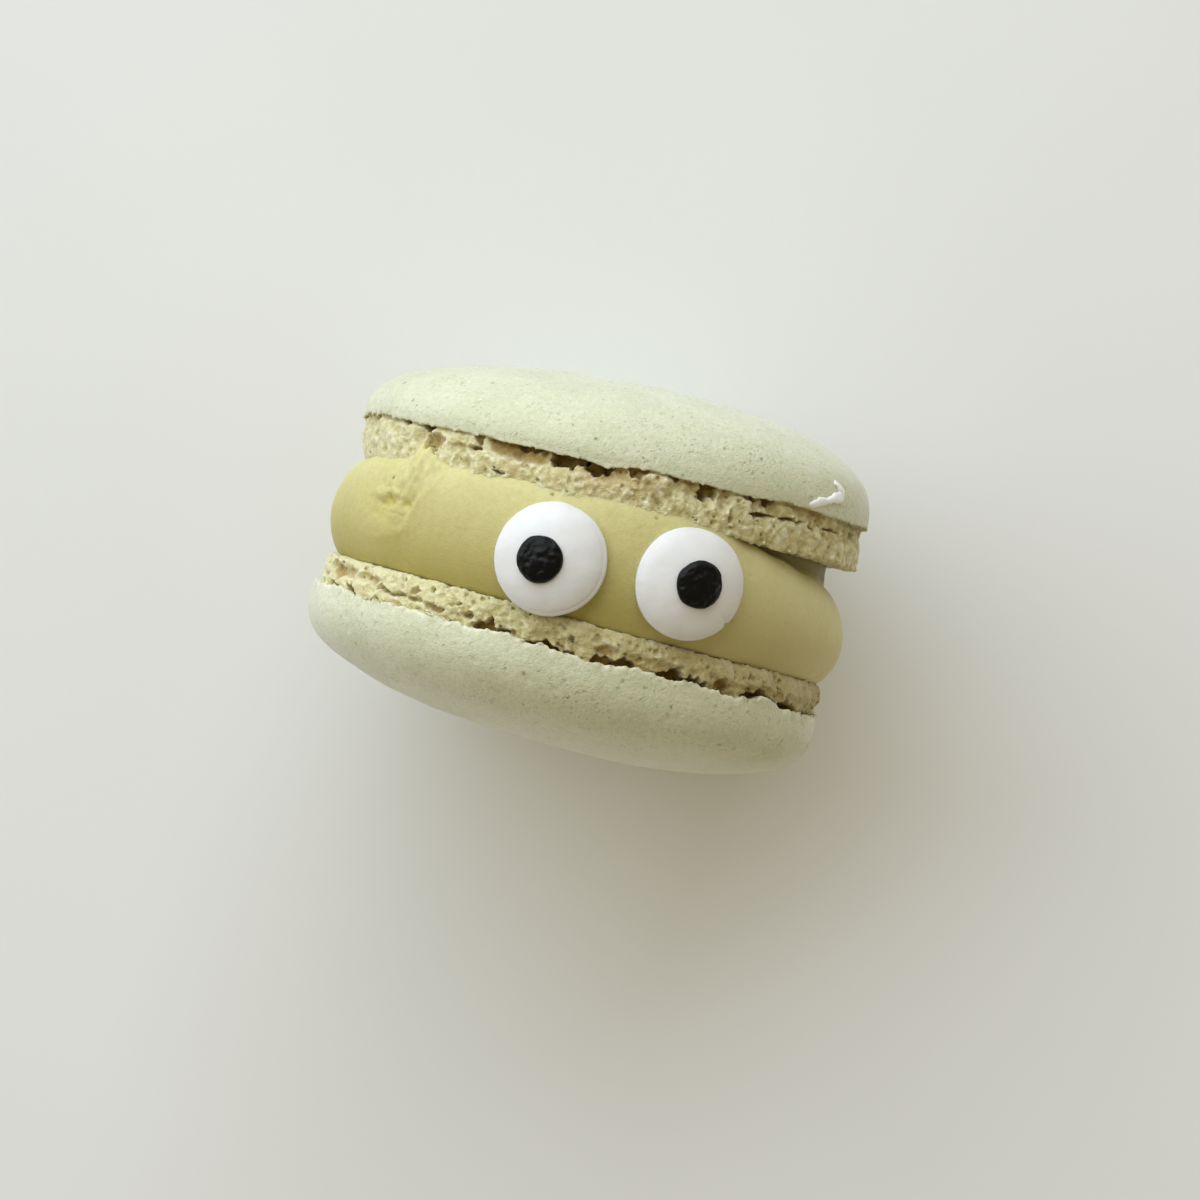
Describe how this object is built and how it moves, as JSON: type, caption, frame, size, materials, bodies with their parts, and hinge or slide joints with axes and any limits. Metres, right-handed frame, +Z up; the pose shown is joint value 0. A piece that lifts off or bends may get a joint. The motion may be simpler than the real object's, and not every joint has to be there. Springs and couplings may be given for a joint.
{
  "type": "french macaron",
  "caption": "French macaron standing on its rim: domed pale green meringue shells with ruffled feet, a thick olive ganache disc between them and candy eyes on its edge.",
  "frame": {"origin": "middle of the footprint, on the surface that the macaron stands on", "axes": "+Z up, from the flats on the rims of the shells to the candy eyes; +Y along the macaron's own axis, out of the dome of shell_upper; +X along the rim at the top, from eye_left to eye_right"},
  "size_m": [0.0512, 0.0358, 0.0527],
  "materials": {
    "crust": "matte baked almond meringue, pale green",
    "ganache": "satin, smooth white chocolate ganache, olive green",
    "icing_white": "satin set icing, white",
    "icing_black": "satin set icing, black"
  },
  "bodies": {
    "root": {"shell_upper": "crust", "shell_lower": "crust", "filling": "ganache", "eye_left": "icing_white", "eye_right": "icing_white", "pupil_left": "icing_black", "pupil_right": "icing_black"}
  },
  "joints": []
}
